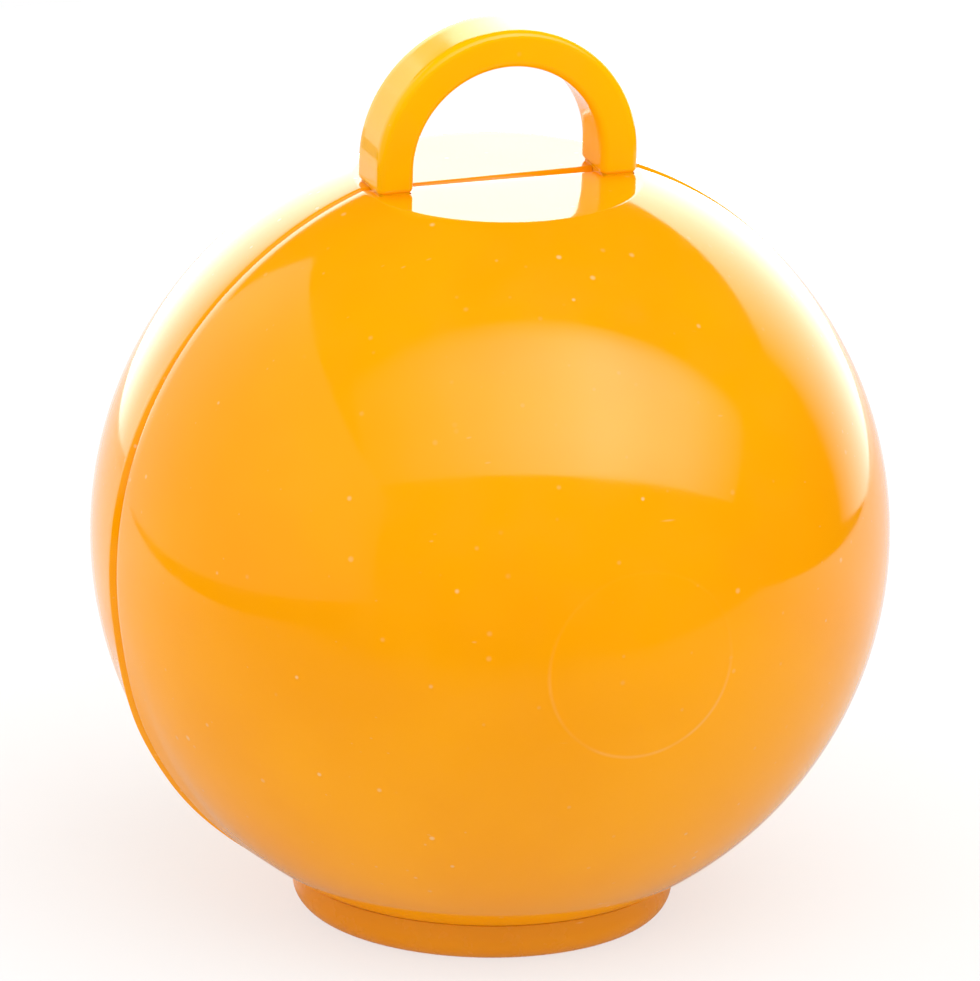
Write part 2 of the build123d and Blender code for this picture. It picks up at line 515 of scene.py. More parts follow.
def casing_outline(ball, foot):
    """Closed outline of the casing in radius and height, from the flat's edge round to the ceiling's.

    It is the flat's rounded edge, the ball, the seat, the wall of the filling hole, the collar, the
    inner ball and the ceiling's corner. Its first half, up to the top of the filling hole, has as many
    points as its second, so that each point has a partner across the wall. Returned with it, for each
    point, are the outward direction, the share of the seam groove that it takes, the share of the
    groove's growth to its full width and the share of the lip's height. The heights of the flat and
    the ceiling come last.
    """
    middle = np.array([0.0, ball.centre_height])
    flat_height = ball.centre_height + math.sqrt(ball.radius**2 - ball.flat_radius**2)
    edge_height = flat_height - ball.flat_edge
    edge_radius = math.sqrt((ball.radius - ball.flat_edge) ** 2 - (edge_height - ball.centre_height) ** 2)
    edge_end = math.atan2(edge_radius, edge_height - ball.centre_height)
    seat_radius = foot.radius - foot.rim_width
    seat_angle = math.pi - math.asin(seat_radius / ball.radius)
    seat_height = ball.centre_height + ball.radius * math.cos(seat_angle)
    hole_radius = seat_radius - foot.seat_width
    collar_radius = hole_radius + COLLAR_WALL
    collar_top = seat_height + foot.collar_height
    inner_radius = ball.radius - ball.wall
    collar_angle = math.pi - math.asin(collar_radius / inner_radius)
    collar_foot = ball.centre_height + inner_radius * math.cos(collar_angle)
    corner_angle = math.asin((ball.flat_radius + CEILING_MARGIN) / inner_radius)
    ceiling = flat_height - ball.wall

    edge = arc((edge_radius, edge_height), ball.flat_edge, 0.0, edge_end, EDGE_STEPS)
    outer = arc(middle, ball.radius, edge_end, seat_angle, OUTER_STEPS)[1:]
    lower = straight_runs(
        [
            (seat_radius, seat_height),
            (hole_radius, seat_height),
            (hole_radius, collar_top),
            (collar_radius, collar_top),
            (collar_radius, collar_foot),
        ],
        (SEAT_STEPS, *COLLAR_STEPS),
    )[1:]
    inner = arc(middle, inner_radius, collar_angle, corner_angle, INNER_STEPS)[1:]
    corner = straight_runs([inner[-1], (edge_radius, ceiling)], (CORNER_STEPS,))[1:]
    outline = np.concatenate([edge, outer, lower, inner, corner])

    edge_turn = np.linspace(0.0, edge_end, EDGE_STEPS + 1)
    outer_turn = np.linspace(edge_end, seat_angle, OUTER_STEPS + 1)[1:]
    outside = len(edge_turn) + len(outer_turn)
    turn = np.concatenate([edge_turn, outer_turn, np.full(len(outline) - outside, seat_angle)])
    outward = np.stack([np.sin(turn), np.cos(turn)], axis=-1)
    groove = np.zeros(len(outline))
    groove[:outside] = 1.0
    groove[outside : outside + SEAT_STEPS] = np.linspace(1.0, 0.0, SEAT_STEPS + 1)[1:]
    grown = ease((turn - GROOVE_START) / (GROOVE_END - GROOVE_START))[:, None]
    grown *= 1.0 - NARROW_SHARE * ease((turn - NARROW_START) / (NARROW_END - NARROW_START))[:, None]
    fold = len(outline) // 2
    grown[fold:] = grown[fold::-1]
    risen = ease((turn - LIP_RISE[0]) / (LIP_RISE[1] - LIP_RISE[0]))
    fallen = ease((turn - LIP_FALL[0]) / (LIP_FALL[1] - LIP_FALL[0]))
    lip = (risen * (1.0 - fallen))[:, None]
    return outline, outward, groove, grown, lip, flat_height, ceiling


def groove_bevel(ball, across, grown=0.0):
    """Width of the seam's bevel, which opens from left to right and grows to its full width on the ball.

    Across is the place from -1 at the left end of the flat to 1 at its right end. On the flat the width
    goes straight from the left one to the right one, and grown is the share of the way from there to
    the full width.
    """
    middle = (ball.right_bevel + ball.left_bevel) / 2
    opened = middle + (ball.right_bevel - middle) * across
    return opened + (ball.seam_bevel - opened) * grown


def casing_columns(radius, bevels, slot):
    """Angles of the casing's columns round Z, from the seam at the right to the seam at the left.

    Radius is that of each row, bevels are the groove's half widths in each row at the right and at the
    left, and slot is how far the slot's inner and outer sides are from the middle. Near a seam the
    columns keep fixed shares of the groove's half width from it, so their angle is the arcsine of that
    distance over the row's radius. The other columns share out the rest of the quarter turn in fixed
    parts, set so that on the flat's edge they line up with the sides of the slot. Returned with the
    angles are the columns at the outer and the inner side of the right slot.
    """
    quarters = []
    for bevel in bevels:
        near = np.arcsin(SEAM_SHARES * bevel / radius[:, None])
        last = near[:, -1:]
        sides = [math.acos(side / radius[0]) for side in reversed(slot)]
        bounds = np.array([last[0, 0], *sides, math.pi / 2])
        marks = straight_runs(bounds[:, None], COLUMN_STEPS)[1:, 0]
        shares = (marks - bounds[0]) / (bounds[-1] - bounds[0])
        quarters.append(np.concatenate([near, last + shares * (math.pi / 2 - last)], axis=1))
    right, left = quarters
    angle = np.concatenate([right, math.pi - left[:, -2::-1]], axis=1)
    slot_start = len(SEAM_SHARES) - 1 + COLUMN_STEPS[0]
    return angle, slot_start, slot_start + COLUMN_STEPS[1]


def leg_neck(loop):
    """Length by which a leg is narrower in its slot: its rounding times one less the turn's cosine."""
    return loop.base_round * (1.0 - math.cos(BASE_TURN))


def half_casing(ball, loop, foot, side):
    """Patches of one half of the ball, at the rear for side 1 and at the front for side -1.

    The casing's outline is carried round Z for half a turn. Near the seam it is let down by the
    groove's depth, and on the lower part of the ball it is raised by a lip that eases in towards the
    seam, both along the outline's outward direction within the seam's plane. The flat and the ceiling
    are columns of points across the half disc, without the cells over the slots. Walls close the slots,
    and a strip from each outer point to its inner partner closes the half along the seam.
    """
    outline, outward, groove, grown, lip, flat_height, ceiling = casing_outline(ball, foot)
    radius = outline[:, 0]
    edge_radius = radius[0]
    neck = leg_neck(loop) - loop.clearance
    leg_inside = loop.inner_radius + neck
    leg_outside = loop.inner_radius + loop.bar - neck
    slot_depth = loop.depth / 2 - neck
    bevels = [groove_bevel(ball, across, grown) for across in (1.0, -1.0)]
    angle, slot_start, slot_end = casing_columns(radius, bevels, (leg_inside, leg_outside))
    lip_height = ball.lip if side > 0 else ball.lip * FRONT_LIP
    rounding = ball.rear_round if side > 0 else ball.front_round

    y = radius[:, None] * np.sin(angle)
    standing = lip_height * lip * ease(1.0 - y / ball.lip_width)
    sunk = seam_drop(y, groove_bevel(ball, np.cos(angle), grown), rounding)
    drop = groove[:, None] * (sunk - standing)
    x = (radius[:, None] - drop * outward[:, :1]) * np.cos(angle)
    z = outline[:, 1:] - drop * outward[:, 1:]
    y[:, [0, -1]] = 0.0
    skin = np.stack([x, y, z], axis=-1)

    flat_x = edge_radius * np.cos(angle[0])
    reach = y[0]
    inner_reach = np.minimum(slot_depth, reach * slot_depth / reach[slot_start])
    flat_bevel = groove_bevel(ball, np.cos(angle[0]))[:, None]
    seam_lines = SEAM_SHARES * flat_bevel
    slot_shares = np.linspace(0.0, 1.0, SLOT_STEPS + 1)[1:]
    flat_shares = np.linspace(0.0, 1.0, FLAT_STEPS + 1)[1:]
    rest = seam_lines[:, -1:] + (slot_depth - seam_lines[:, -1:]) * slot_shares
    near = inner_reach[:, None] * np.concatenate([seam_lines, rest], axis=1) / slot_depth
    far = inner_reach[:, None] + (reach - inner_reach)[:, None] * flat_shares
    flat_y = np.concatenate([near, far], axis=1)
    wide_x = np.broadcast_to(flat_x[:, None], flat_y.shape)
    flat_drop = seam_drop(flat_y, flat_bevel, rounding)
    top = np.stack([wide_x, flat_y, flat_height - flat_drop], axis=-1)
    under = np.stack([wide_x, flat_y, np.full(flat_y.shape, ceiling)], axis=-1)

    columns = len(flat_x)
    slot_row = near.shape[1] - 1
    spans = [(slot_start, slot_end), (columns - 1 - slot_end, columns - 1 - slot_start)]
    kept = np.ones((columns - 1, flat_y.shape[1] - 1), bool)
    walls = []
    for first, last in spans:
        kept[first:last, :slot_row] = False
        walls.append(np.stack([top[first, : slot_row + 1], under[first, : slot_row + 1]]))
        walls.append(np.stack([top[last, : slot_row + 1], under[last, : slot_row + 1]]))
        walls.append(np.stack([top[first : last + 1, slot_row], under[first : last + 1, slot_row]]))

    fold = (len(outline) - 1) // 2
    strips = [np.stack([skin[: fold + 1, column], skin[: fold - 1 : -1, column]]) for column in (0, -1)]
    bridge = np.stack([top[:, 0], under[:, 0]])
    patches = [(skin, None), (top, kept), (under, kept), (bridge, kept[None, :, 0])]
    patches += [(patch, None) for patch in walls + strips]
    mirror = np.array([1.0, side, 1.0])
    return [(patch * mirror, cells) for patch, cells in patches]


def rounded_section():
    """Outline of a rectangle with rounded corners, as two parts that any width and rounding can use.

    A point is its first part times the half sizes less the rounding, plus its second part times the
    rounding. On a corner the first part is the corner's signs and the second a unit circle's point. On
    a side the first part goes straight from sign to sign and the second points square out of the side.
    """
    turn = np.linspace(0.0, math.pi / 2, ROUND_STEPS + 1)
    circle = np.stack([np.cos(turn), np.sin(turn)], axis=-1)
    across = np.linspace(1.0, -1.0, SHORT_STEPS + 1)[1:-1, None]
    along = np.linspace(1.0, -1.0, LONG_STEPS + 1)[1:-1, None]
    first = np.ones((len(turn), 2))
    reach = np.concatenate([first, across * (1, 0) + (0, 1), first * (-1, 1), along * (0, 1) - (1, 0)])
    bulge = np.concatenate([circle, 0 * across + (0, 1), circle[::-1] * (-1, 1), 0 * along - (1, 0)])
    return np.concatenate([reach, -reach]), np.concatenate([bulge, -bulge])


def loop_patches(ball, loop):
    """Patch of the ribbon loop: a rounded bar carried up one leg, over the arch and down the other.

    On the arch the bar's middle is at the middle radius times the cosine and sine of an angle, and on
    the legs it runs straight down. The bar's front edges are rounded and its rear edges nearly square.
    The bottom edge of a leg is part of a quarter circle, and where that narrows the bar, the rounding of
    its edges is less by as much. At the ends the bar is widened to an anchor and closed.
    """
    flat_height = ball.centre_height + math.sqrt(ball.radius**2 - ball.flat_radius**2)
    arch_height = flat_height + loop.leg_height
    middle = loop.inner_radius + loop.bar / 2
    leg = loop.leg_height + ball.wall
    anchor = leg + loop.anchor_thickness
    reach, bulge = rounded_section()

    bend = np.linspace(BASE_TURN, 0.0, BASE_STEPS + 1)
    base = loop.leg_height - loop.base_round * (1.0 - np.sin(bend))
    tucked = loop.base_round * (1.0 - np.cos(bend))
    shaft = np.linspace(base[-1], 0.0, LEG_STEPS + 1)[1:]
    down = np.concatenate([[anchor, anchor, leg, leg], base, shaft])
    inset = np.concatenate([[0.0, 0.0, 0.0, tucked[0]], tucked, 0.0 * shaft])
    wide = np.concatenate([[0.0, loop.anchor_reach, loop.anchor_reach], np.zeros(len(down) - 3)])
    size = np.concatenate([[0.0], np.ones(len(down) - 1)])

    turn = np.linspace(math.pi, 0.0, ARCH_STEPS + 1)[1:-1]
    arch = np.zeros(len(turn))
    ends = np.zeros(len(down))
    turn = np.concatenate([ends + math.pi, turn, ends])
    inset = np.concatenate([inset, arch, inset[::-1]])[:, None]
    wide = np.concatenate([wide, arch, wide[::-1]])[:, None]
    size = np.concatenate([size, arch + 1.0, size[::-1]])[:, None]
    down = np.concatenate([down, arch, down[::-1]])[:, None]

    rounding = loop.rear_round + (loop.front_round - loop.rear_round) * (1.0 - reach[:, 1]) / 2
    rounding = np.maximum(rounding - inset, LEAST_ROUND)
    half_width = loop.bar / 2 - inset + wide
    half_depth = loop.depth / 2 - inset
    across = size * (reach[:, 0] * (half_width - rounding) + bulge[:, 0] * rounding)
    y = size * (reach[:, 1] * (half_depth - rounding) + bulge[:, 1] * rounding)
    x = (middle + across) * np.cos(turn)[:, None]
    z = arch_height + (middle + across) * np.sin(turn)[:, None] - down
    bar = np.stack([x, y, z], axis=-1)
    return [(np.concatenate([bar, bar[:, :1]], axis=1), None)]


def foot_patches(ball, foot):
    """Patch of the foot and its plug: one closed outline carried round Z for a full turn.

    From the middle of the underside the outline goes over the recess, the ring that stands on the
    table, the rounded edge, the side, the rim that follows the ball, the seat, the plug with its snap
    bead, and back over the floor to the middle.
    """
    seat_radius = foot.radius - foot.rim_width
    seat_height = ball.centre_height - math.sqrt((ball.radius + SEAT_CLEARANCE) ** 2 - seat_radius**2)
    rim_ball = ball.radius + foot.rim_clearance
    rim_start = math.pi - math.asin((foot.radius - RIM_ROUND) / rim_ball)
    rim_end = math.pi - math.acos((ball.centre_height - seat_height) / rim_ball)
    plug_radius = seat_radius - foot.seat_width - PLUG_CLEARANCE
    plug_bore = plug_radius - PLUG_WALL
    bead_radius = plug_radius + BEAD_REACH
    bead = seat_height + foot.collar_height + PLUG_CLEARANCE
    plug_top = bead + PLUG_TOP
    recess = foot.radius - foot.ring_width
    ring_start = recess + RECESS_ROUND
    ring_end = foot.radius - foot.edge_round
    floor = foot.recess_depth + foot.floor_thickness

    rim = arc((0.0, ball.centre_height), rim_ball, rim_start, rim_end, RIM_STEPS)
    side_top = rim[0, 1] - RIM_ROUND * RIM_SHARE - RIM_ROUND
    below = [(0.0, foot.recess_depth), (recess, foot.recess_depth), (recess, RECESS_ROUND)]
    outside = [
        straight_runs(below, RECESS_STEPS),
        arc((ring_start, RECESS_ROUND), RECESS_ROUND, 1.5 * math.pi, math.pi, RECESS_EDGE_STEPS),
        straight_runs([(ring_start, 0.0), (ring_end, 0.0)], (RING_STEPS,)),
        arc((ring_end, foot.edge_round), foot.edge_round, math.pi, math.pi / 2, BOTTOM_EDGE_STEPS),
        straight_runs([(foot.radius, foot.edge_round), (foot.radius, side_top)], (SIDE_STEPS,)),
        arc((foot.radius - RIM_ROUND, side_top), RIM_ROUND, math.pi / 2, 0.0, RIM_EDGE_STEPS),
    ]
    inside = straight_runs(
        [
            rim[-1],
            (plug_radius, seat_height),
            (plug_radius, bead),
            (bead_radius, bead),
            (bead_radius, bead + BEAD_LAND),
            (plug_radius, plug_top),
            (plug_bore, plug_top),
            (plug_bore, floor),
            (0.0, floor),
        ],
        PLUG_STEPS,
    )
    outline = np.concatenate([part[:-1] for part in outside] + [rim, inside[1:]])
    angle = np.linspace(0.0, 2 * math.pi, FOOT_STEPS + 1)
    angle[-1] = 0.0
    x = outline[:, :1] * np.cos(angle)
    y = outline[:, :1] * np.sin(angle)
    z = np.broadcast_to(outline[:, 1:], x.shape)
    return [(np.stack([x, y, z], axis=-1), None)]


def new_node(tree, kind, inputs=None, **settings):
    """Adds a shader node, with its own settings and the values of the given input sockets."""
    node = tree.nodes.new(kind)
    for key, value in settings.items():
        setattr(node, key, value)
    for key, value in (inputs or {}).items():
        if isinstance(value, bpy.types.NodeSocket):
            tree.links.new(value, node.inputs[key])
        else:
            node.inputs[key].default_value = value
    return node


def ramp(tree, value, low, high, start, end, smooth=True):
    """Socket that goes from start to end while a value goes from low to high, and is held outside."""
    kind = "SMOOTHSTEP" if smooth else "LINEAR"
    inputs = {"Value": value, "From Min": low, "From Max": high, "To Min": start, "To Max": end}
    return new_node(tree, "ShaderNodeMapRange", inputs, interpolation_type=kind).outputs["Result"]


def runs(tree, value, shares):
    """Socket that follows straight runs through pairs of a value from 0 to 1 and the share there."""
    node = new_node(tree, "ShaderNodeValToRGB", {"Fac": value})
    stops = node.color_ramp.elements
    while len(stops) < len(shares):
        stops.new(1.0)
    for stop, (place, share) in zip(stops, shares):
        stop.position = place
        stop.color = (share, share, share, 1.0)
    return node.outputs["Color"]


def combined(tree, operation, first, second=0.0, clamp=False):
    """Socket with the result of a Math operation on two values, held from 0 to 1 if it is clamped."""
    inputs = {0: first, 1: second}
    return new_node(tree, "ShaderNodeMath", inputs, operation=operation, use_clamp=clamp).outputs[0]


def times(tree, first, second):
    """Socket with the product of two values."""
    return combined(tree, "MULTIPLY", first, second)


def mixed(tree, share, first, second):
    """Socket with a colour that goes from the first to the second as the share goes from 0 to 1."""
    inputs = {"Factor": share, "A": first, "B": second}
    return new_node(tree, "ShaderNodeMix", inputs, data_type="RGBA").outputs["Result"]


def noise(tree, place, scale, detail):
    """Socket with noise of a scale and a number of finer layers."""
    inputs = {"Vector": place, "Scale": scale, "Detail": detail}
    return new_node(tree, "ShaderNodeTexNoise", inputs).outputs["Fac"]


def scattered(tree, place, scale):
    """Sockets of Voronoi cells: distance from the nearest middle, and channels of each cell's own colour."""
    node = new_node(tree, "ShaderNodeTexVoronoi", {"Vector": place, "Scale": scale})
    lots = new_node(tree, "ShaderNodeSeparateColor", {"Color": node.outputs["Color"]}).outputs
    return node.outputs["Distance"], lots


def bumped(tree, height, depth, normal=None, invert=False):
    """Socket with the normal of a height times a depth, laid over another normal if one is given."""
    inputs = {"Height": height, "Distance": depth}
    if normal is not None:
        inputs["Normal"] = normal
    return new_node(tree, "ShaderNodeBump", inputs, invert=invert).outputs["Normal"]


def blank_material(name):
    """A material with an empty node tree, its surface shader and its object coordinates."""
    material = bpy.data.materials.new(name)
    material.use_nodes = True
    tree = material.node_tree
    tree.nodes.clear()
    shader = new_node(tree, "ShaderNodeBsdfPrincipled")
    new_node(tree, "ShaderNodeOutputMaterial", {"Surface": shader.outputs["BSDF"]})
    place = new_node(tree, "ShaderNodeTexCoord").outputs["Object"]
    return material, tree, shader, place


def moulded_plastic(name, colour, gloss, shine, mark=None):
    """Gloss moulded plastic with a slight change of tone, fine wear, dusty specks and, if given, a mould
    mark whose line carries a painted reflection.

    The tone follows slow noise. Specks are the middles of Voronoi cells, in patches, and fine streaks
    are the middles of a few long stretched cells. Gloss gives the least and the greatest roughness, and
    shine the strength of the reflection. Mark gives the X and Z of the mould mark's middle, its radius
    and its line's width and depth. The line is a band of the distance from the middle, with a painted
    reflection that makes it paler in patches, and more so on its lower side.
    """
    material, tree, shader, place = blank_material(name)
    shader.inputs["IOR"].default_value = PLASTIC_IOR
    shader.inputs["Specular IOR Level"].default_value = shine

    slow = ramp(tree, noise(tree, place, 55.0, 3.0), 0.35, 0.65, 0.0, 1.0)
    deep = [channel * share for channel, share in zip(colour, DEEP_TONE)] + [1.0]
    light = [min(1.0, channel * share) for channel, share in zip(colour, LIGHT_TONE)] + [1.0]
    tone = mixed(tree, slow, deep, light)

    distance, lots = scattered(tree, place, SPECK_SCALE)
    patches = ramp(tree, noise(tree, place, 90.0, 0.0), 0.42, 0.58, 0.25, 1.0)
    chosen = times(tree, patches, ramp(tree, lots["Red"], 0.1, 0.9, 0.0, 0.55))
    speck = ramp(tree, lots["Green"], 0.0, 1.0, 0.09, 0.15, smooth=False)
    specks = times(tree, chosen, ramp(tree, distance, times(tree, speck, 0.3), speck, 1.0, 0.0))

    stretch = {"Vector": place, "Rotation": STREAK_TURN, "Scale": STREAK_SCALE}
    stretched = new_node(tree, "ShaderNodeMapping", stretch).outputs["Vector"]
    distance, lots = scattered(tree, stretched, 1.0)
    few = ramp(tree, lots["Red"], 0.97, 0.975, 0.0, 1.0)
    streaks = times(tree, few, ramp(tree, distance, 0.04, 0.22, 1.0, 0.0))
    pale = combined(tree, "MAXIMUM", specks, times(tree, streaks, 0.2))

    normal = bumped(tree, noise(tree, place, 130.0, 1.0), WAVE_DEPTH)
    normal = bumped(tree, streaks, STREAK_DEPTH, normal, invert=True)
    if mark:
        beside, height, radius, width, depth = mark
        flatten = {"Vector": place, "Location": (-beside, 0.0, -height), "Scale": (1.0, 0.0, 1.0)}
        centred = new_node(tree, "ShaderNodeMapping", flatten).outputs["Vector"]
        away = new_node(tree, "ShaderNodeVectorMath", {0: centred}, operation="LENGTH").outputs["Value"]
        band = combined(tree, "ABSOLUTE", combined(tree, "SUBTRACT", away, radius))
        line = ramp(tree, band, 0.0, width * 0.6, 1.0, 0.0)
        # Painted reflection: the mark's line is made paler in patches, more on its lower side, in the colour
        # of the dusty specks
        painted_reflection = times(tree, line, ramp(tree, noise(tree, place, 150.0, 3.0), 0.4, 0.62, 0.03, 0.17))
        climb = new_node(tree, "ShaderNodeSeparateXYZ", {"Vector": centred}).outputs["Z"]
        painted_reflection = times(tree, painted_reflection, ramp(tree, climb, -radius, 0.5 * radius, 1.0, 0.1))
        pale = combined(tree, "MAXIMUM", pale, painted_reflection)
        normal = bumped(tree, line, depth, normal, invert=True)

    roughness = ramp(tree, noise(tree, place, 380.0, 4.0), 0.3, 0.7, *gloss)
    # The pale marks take the pale colour: specks and streaks are dust and wear, and the mould mark's line is
    # a painted reflection
    tree.links.new(mixed(tree, pale, tone, DUST_AND_PAINTED_REFLECTION), shader.inputs["Base Color"])
    tree.links.new(roughness, shader.inputs["Roughness"])
    tree.links.new(normal, shader.inputs["Normal"])
    return material


def cast_mortar(name, colour):
    """Mortar: sand grains as Voronoi cells of mixed tone in a paste, rough, with pores from noise."""
    material, tree, shader, place = blank_material(name)
    shader.inputs["Roughness"].default_value = 0.9
    distance, lots = scattered(tree, place, GRAIN_SCALE)
    body = noise(tree, place, 140.0, 6.0)
    dark = [channel * DARK_GRAIN for channel in colour] + [1.0]
    pale = [min(1.0, channel * PALE_GRAIN) for channel in colour] + [1.0]
    sand = mixed(tree, lots["Red"], dark, pale)
    paste = mixed(tree, ramp(tree, body, 0.35, 0.65, 0.25, 0.8), sand, [*colour, 1.0])
    normal = bumped(tree, distance, GRAIN_DEPTH, bumped(tree, body, PORE_DEPTH))
    tree.links.new(paste, shader.inputs["Base Color"])
    tree.links.new(normal, shader.inputs["Normal"])
    return material


def direction(azimuth, elevation):
    """Unit direction from the part: azimuth from the front to the right, elevation from the horizon."""
    level = math.cos(elevation)
    return Vector((math.sin(azimuth) * level, -math.cos(azimuth) * level, math.sin(elevation)))


def axes_matrix(side, up, out, place):
    """Matrix of an object whose own axes point to the side, up and out, at a place."""
    return Matrix.Translation(place) @ Matrix((side, up, out)).transposed().to_4x4()


def panel_lamp(
    name, middle, level, azimuth, span, elevation=0.0, turn=0.0,
    shares=EVEN, heights=EVEN, lights=True, shows=True,
):
    """A flat lamp that faces the part.

    Its plane is square to a direction at a set distance and turned in itself, and span gives its left,
    right, lower and upper edges in that plane as shares of the distance. The angles are in degrees.
    The level is its greatest brightness. Shares gives pairs of a place, from 0 at the left edge to 1 at
    the right, and the share of the level there, and heights does the same from the lower edge to the
    upper. A lamp that doesn't light shows in the gloss only, and one that doesn't show only lights.
    """
    azimuth, elevation, turn = (math.radians(angle) for angle in (azimuth, elevation, turn))
    out = direction(azimuth, elevation)
    level_side = Vector((math.cos(azimuth), math.sin(azimuth), 0.0))
    rise = out.cross(level_side)
    side = level_side * math.cos(turn) + rise * math.sin(turn)
    up = rise * math.cos(turn) - level_side * math.sin(turn)
    left, right, low, high = (share * LAMP_DISTANCE for share in span)
    lamp = bpy.data.lights.new(name, "AREA")
    lamp.shape = "RECTANGLE"
    lamp.size = right - left
    lamp.size_y = high - low
    lamp.energy = WHITE_POWER * lamp.size * lamp.size_y * level
    lamp.use_nodes = True
    tree = lamp.node_tree
    tree.nodes.clear()
    place = new_node(tree, "ShaderNodeNewGeometry").outputs["Parametric"]
    axes = new_node(tree, "ShaderNodeSeparateXYZ", {"Vector": place}).outputs
    strength = times(tree, runs(tree, axes["X"], shares), runs(tree, axes["Y"], heights))
    glow = new_node(tree, "ShaderNodeEmission", {"Strength": strength})
    new_node(tree, "ShaderNodeOutputLight", {"Surface": glow.outputs["Emission"]})
    holder = bpy.data.objects.new(name, lamp)
    bpy.context.scene.collection.objects.link(holder)
    centre = middle + out * LAMP_DISTANCE + side * (left + right) / 2 + up * (low + high) / 2
    holder.matrix_world = axes_matrix(side, up, out, centre)
    holder.visible_camera = False
    holder.visible_diffuse = lights
    holder.visible_glossy = shows


def white_floor(colour, away, front):
    """Thin pale sheet that keeps the part's shadow, is lifted to white in pictures and fades in front.

    The fade follows the depth along the ground, which is the place times the direction away from the
    camera: the sheet's cover grows from the camera's side of the part to the far side, and the sheet is
    clear at its front edge.
    """
    material, tree, shader, place = blank_material("floor_paper")
    shader.inputs["Roughness"].default_value = 0.8
    shader.inputs["Specular IOR Level"].default_value = 0.0
    shade = [channel * 0.985 for channel in colour] + [1.0]
    paper = mixed(tree, noise(tree, place, 300.0, 2.0), shade, [*colour, 1.0])
    tree.links.new(paper, shader.inputs["Base Color"])

    rays = new_node(tree, "ShaderNodeLightPath").outputs
    seen = combined(tree, "ADD", rays["Is Camera Ray"], rays["Is Glossy Ray"])
    seen = combined(tree, "ADD", seen, rays["Is Transmission Ray"], clamp=True)
    lift = times(tree, seen, FLOOR_LIFT)
    white = new_node(tree, "ShaderNodeEmission", {"Strength": 1.0}).outputs["Emission"]
    lifted = new_node(tree, "ShaderNodeMixShader", {0: lift, 1: shader.outputs["BSDF"], 2: white})

    along = {0: place, 1: away}
    depth = new_node(tree, "ShaderNodeVectorMath", along, operation="DOT_PRODUCT").outputs["Value"]
    cover = ramp(tree, depth, *COVER_DEPTHS, *COVER_SHARES, smooth=False)
    cover = times(tree, cover, ramp(tree, depth, -front, FADE_END, 0.0, 1.0))
    clear = new_node(tree, "ShaderNodeBsdfTransparent")
    faded = new_node(tree, "ShaderNodeMixShader", {0: cover, 1: clear.outputs[0], 2: lifted.outputs[0]})
    output = next(node for node in tree.nodes if node.type == "OUTPUT_MATERIAL")
    tree.links.new(faded.outputs[0], output.inputs["Surface"])
    return material


def floor_sheet(studio):
    """Level sheet on the table: a rectangle of points between its four edges."""
    across = np.linspace(-studio.sheet_left, studio.sheet_right, SHEET_POINTS)
    along = np.linspace(-studio.sheet_front, studio.sheet_rear, SHEET_POINTS)
    x, y = np.meshgrid(across, along, indexing="ij")
    points = np.stack([x, y, 0.0 * x], axis=-1).reshape(-1, 3)
    cells = grid_cells(SHEET_POINTS, SHEET_POINTS).reshape(-1, 4)
    ground = bpy.data.meshes.new("floor")
    ground.from_pydata(points.tolist(), [], cells.tolist())
    away = direction(studio.azimuth + math.pi, 0.0)
    ground.materials.append(white_floor(studio.floor_colour, away, studio.sheet_front))
    return bpy.data.objects.new("floor", ground)


def white_surroundings(fill):
    """World: white where a picture sees it and behind the part in its gloss, and a fill light elsewhere.

    The white in the gloss lies between edges in the Y and Z of the direction looked in, and the fill
    falls off a little towards the rear.
    """
    world = bpy.data.worlds.new("studio")
    world.use_nodes = True
    tree = world.node_tree
    tree.nodes.clear()
    rays = new_node(tree, "ShaderNodeLightPath").outputs
    towards = new_node(tree, "ShaderNodeTexCoord").outputs["Generated"]
    axes = new_node(tree, "ShaderNodeSeparateXYZ", {"Vector": towards}).outputs
    behind = ramp(tree, axes["Y"], *REAR_EDGE, 0.0, 1.0)
    behind = times(tree, behind, ramp(tree, axes["Z"], *UPPER_EDGE, 1.0, 0.0))
    behind = times(tree, behind, ramp(tree, axes["Z"], *LOWER_EDGE, 0.0, 1.0))
    mirrored = times(tree, rays["Is Glossy Ray"], behind)
    seen = combined(tree, "ADD", rays["Is Camera Ray"], rays["Is Transmission Ray"])
    seen = combined(tree, "ADD", seen, mirrored, clamp=True)
    soft = times(tree, ramp(tree, rays["Is Glossy Ray"], 0.0, 1.0, 1.0, 0.0), fill)
    soft = times(tree, soft, ramp(tree, axes["Y"], *FILL_BOUNDS, 1.0, REAR_FILL))
    levels = [
        new_node(tree, "ShaderNodeBackground", {"Color": (1.0, 1.0, 1.0, 1.0), "Strength": strength})
        for strength in (soft, 1.0)
    ]
    both = new_node(
        tree, "ShaderNodeMixShader", {0: seen, 1: levels[0].outputs[0], 2: levels[1].outputs[0]}
    )
    new_node(tree, "ShaderNodeOutputWorld", {"Surface": both.outputs[0]})
    return world


def studio_camera(studio, middle):
    """Camera at its distance from the picture's middle, which lies above the ball's centre, and rolled."""
    back = direction(studio.azimuth, studio.elevation)
    level_right = Vector((0.0, 0.0, 1.0)).cross(back).normalized()
    level_up = back.cross(level_right)
    right = level_right * math.cos(studio.roll) + level_up * math.sin(studio.roll)
    up = level_up * math.cos(studio.roll) - level_right * math.sin(studio.roll)
    lens = bpy.data.cameras.new("camera")
    lens.sensor_fit = "HORIZONTAL"
    lens.sensor_width = SENSOR_WIDTH
    lens.lens = SENSOR_WIDTH * studio.distance / studio.frame_width
    lens.clip_start = NEAREST
    lens.clip_end = FARTHEST
    camera = bpy.data.objects.new("camera", lens)
    camera.matrix_world = axes_matrix(right, up, back, middle + up * studio.rise + back * studio.distance)
    return camera


